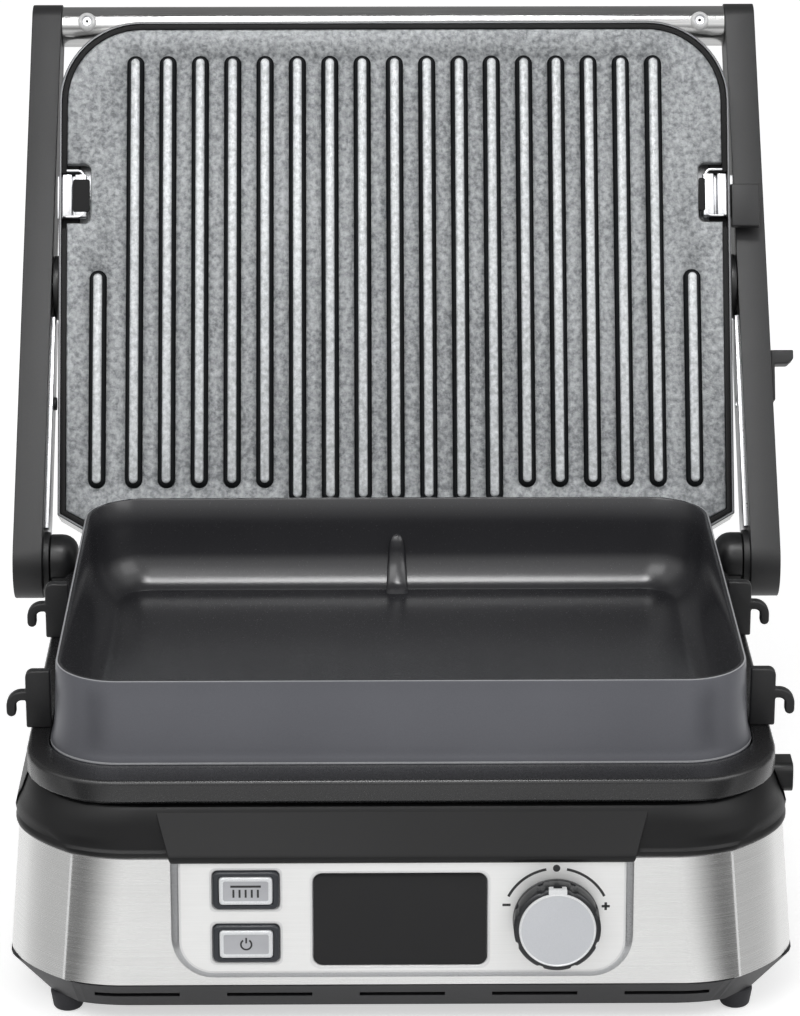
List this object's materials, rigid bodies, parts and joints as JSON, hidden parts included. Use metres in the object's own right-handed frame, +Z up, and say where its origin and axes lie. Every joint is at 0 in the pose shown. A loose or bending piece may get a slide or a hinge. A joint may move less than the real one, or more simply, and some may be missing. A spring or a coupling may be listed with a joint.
{
  "type": "contact grill",
  "caption": "Open countertop contact grill with a deep pan below, a ribbed plate in a floating lid on two arms, and a steel front with dial, keys and display.",
  "frame": {"origin": "on the counter, under the middle of the open grill's overall box; the base's own middle is 5.3 mm to its left and 75.8 mm in front of it", "axes": "+X to the grill's right side as its user sees it, +Y to its back, +Z up"},
  "size_m": [0.3563, 0.4526, 0.3289],
  "materials": {
    "black_housing": "fine satin texture",
    "grey_cover": "satin",
    "brushed_band": "brushed along the width",
    "foot_rubber": "matte",
    "nonstick_pan": "satin non-stick coating on cast aluminium",
    "nonstick_plate": "light speckled non-stick coating on cast aluminium",
    "zinc_screw": "satin",
    "panel_silver": "brushed along the width",
    "key_silver": "satin silver paint",
    "key_bezel": "satin",
    "dark_window": "gloss",
    "knob_dark": "satin",
    "dial_metal": "turned",
    "pin_steel": "ground",
    "strap_steel": "brushed",
    "tube_steel": "brushed along the tube",
    "element_steel": "heat-tinted",
    "reflector_steel": "bright aluminised steel",
    "arm_black": "satin",
    "board_green": "solder mask",
    "display_cell": "display cell",
    "cream_block": "moulded"
  },
  "bodies": {
    "base": {"bottom_cover": "grey_cover", "rubber_feet": "foot_rubber", "cover_screws": "zinc_screw", "steel_band": "brushed_band", "rear_cover": "black_housing", "upper_housing": "black_housing", "pan_ring": "grey_cover", "hook_lugs": "arm_black", "cooking_pan": "nonstick_pan", "lower_element": "element_steel", "lower_reflector": "reflector_steel", "pan_sensor": "reflector_steel", "element_clips": "reflector_steel", "control_panel": "panel_silver", "display_window": "dark_window", "display_module": "display_cell", "key_frames": "key_bezel", "control_board": "board_green", "dial_encoder": "pin_steel", "power_board": "board_green", "terminal_block": "cream_block", "drip_chute": "black_housing", "cord_gland": "arm_black", "left_hinge_tower": "black_housing", "right_hinge_tower": "black_housing"},
    "dial": {"dial_shaft": "pin_steel", "dial_knob": "knob_dark", "dial_face": "dial_metal"},
    "plate_key": {"upper_plate_key": "key_silver"},
    "on_key": {"power_key": "key_silver"},
    "tray": {"drip_tray": "black_housing"},
    "pan_button": {"lower_release_button": "black_housing"},
    "arms": {"left_arm": "arm_black", "right_arm": "arm_black", "left_arm_strap": "strap_steel", "right_arm_strap": "strap_steel", "handle_tube": "tube_steel", "handle_plugs": "arm_black", "handle_screws": "zinc_screw", "float_stop_pin": "arm_black", "lid_pivot_pins": "pin_steel", "hinge_pins": "pin_steel"},
    "hinge_lever": {"hinge_release_lever": "arm_black"},
    "lid": {"lid_cover": "brushed_band", "lid_frame": "black_housing", "pivot_bosses": "black_housing", "upper_plate": "nonstick_plate", "upper_element": "element_steel", "upper_reflector": "reflector_steel", "upper_element_clips": "reflector_steel", "upper_thermostat": "reflector_steel", "left_plate_clip": "reflector_steel", "lid_frame_screws": "zinc_screw"},
    "plate_tab": {"plate_release_tab": "arm_black"}
  },
  "joints": [
    {"name": "arm_hinge", "type": "hinge", "parent": "base", "child": "arms", "pos_m": [-0.0053, 0.0502, 0.1067], "axis": [-1, 0, 0], "range_deg": [-103.5, 55.7]},
    {"name": "lid_float", "type": "hinge", "parent": "arms", "child": "lid", "pos_m": [-0.0053, 0.13284, 0.21162], "axis": [-1, 0, 0], "range_deg": [-13.5, 7.3]},
    {"name": "dial_turn", "type": "hinge", "parent": "base", "child": "dial", "pos_m": [0.0553, -0.21447, 0.05004], "axis": [0, -0.9969, 0.0783], "continuous": true},
    {"name": "upper_plate_key_press", "type": "slide", "parent": "base", "child": "plate_key", "axis": [0, 0.9969, -0.0783], "range_m": [0, 0.0008], "stiffness_N_per_m": 1500, "springref_m": -0.0004},
    {"name": "power_key_press", "type": "slide", "parent": "base", "child": "on_key", "axis": [0, 0.9969, -0.0783], "range_m": [0, 0.0008], "stiffness_N_per_m": 1500, "springref_m": -0.0004},
    {"name": "drip_tray_slide", "type": "slide", "parent": "base", "child": "tray", "axis": [0, 1, 0], "range_m": [0, 0.072]},
    {"name": "lower_release_press", "type": "slide", "parent": "base", "child": "pan_button", "axis": [-1, 0, 0], "range_m": [0, 0.004], "stiffness_N_per_m": 800, "springref_m": -0.001},
    {"name": "hinge_release_slide", "type": "slide", "parent": "arms", "child": "hinge_lever", "axis": [0, 0.454, 0.891], "range_m": [0, 0.008], "stiffness_N_per_m": 300, "springref_m": -0.003},
    {"name": "plate_release_slide", "type": "slide", "parent": "lid", "child": "plate_tab", "axis": [1, 0, 0], "range_m": [0, 0.004], "stiffness_N_per_m": 600, "springref_m": -0.0015}
  ],
  "couplings": [
    {"joint": "lid_float", "follows": "arm_hinge", "ratio": 0.1301}
  ]
}
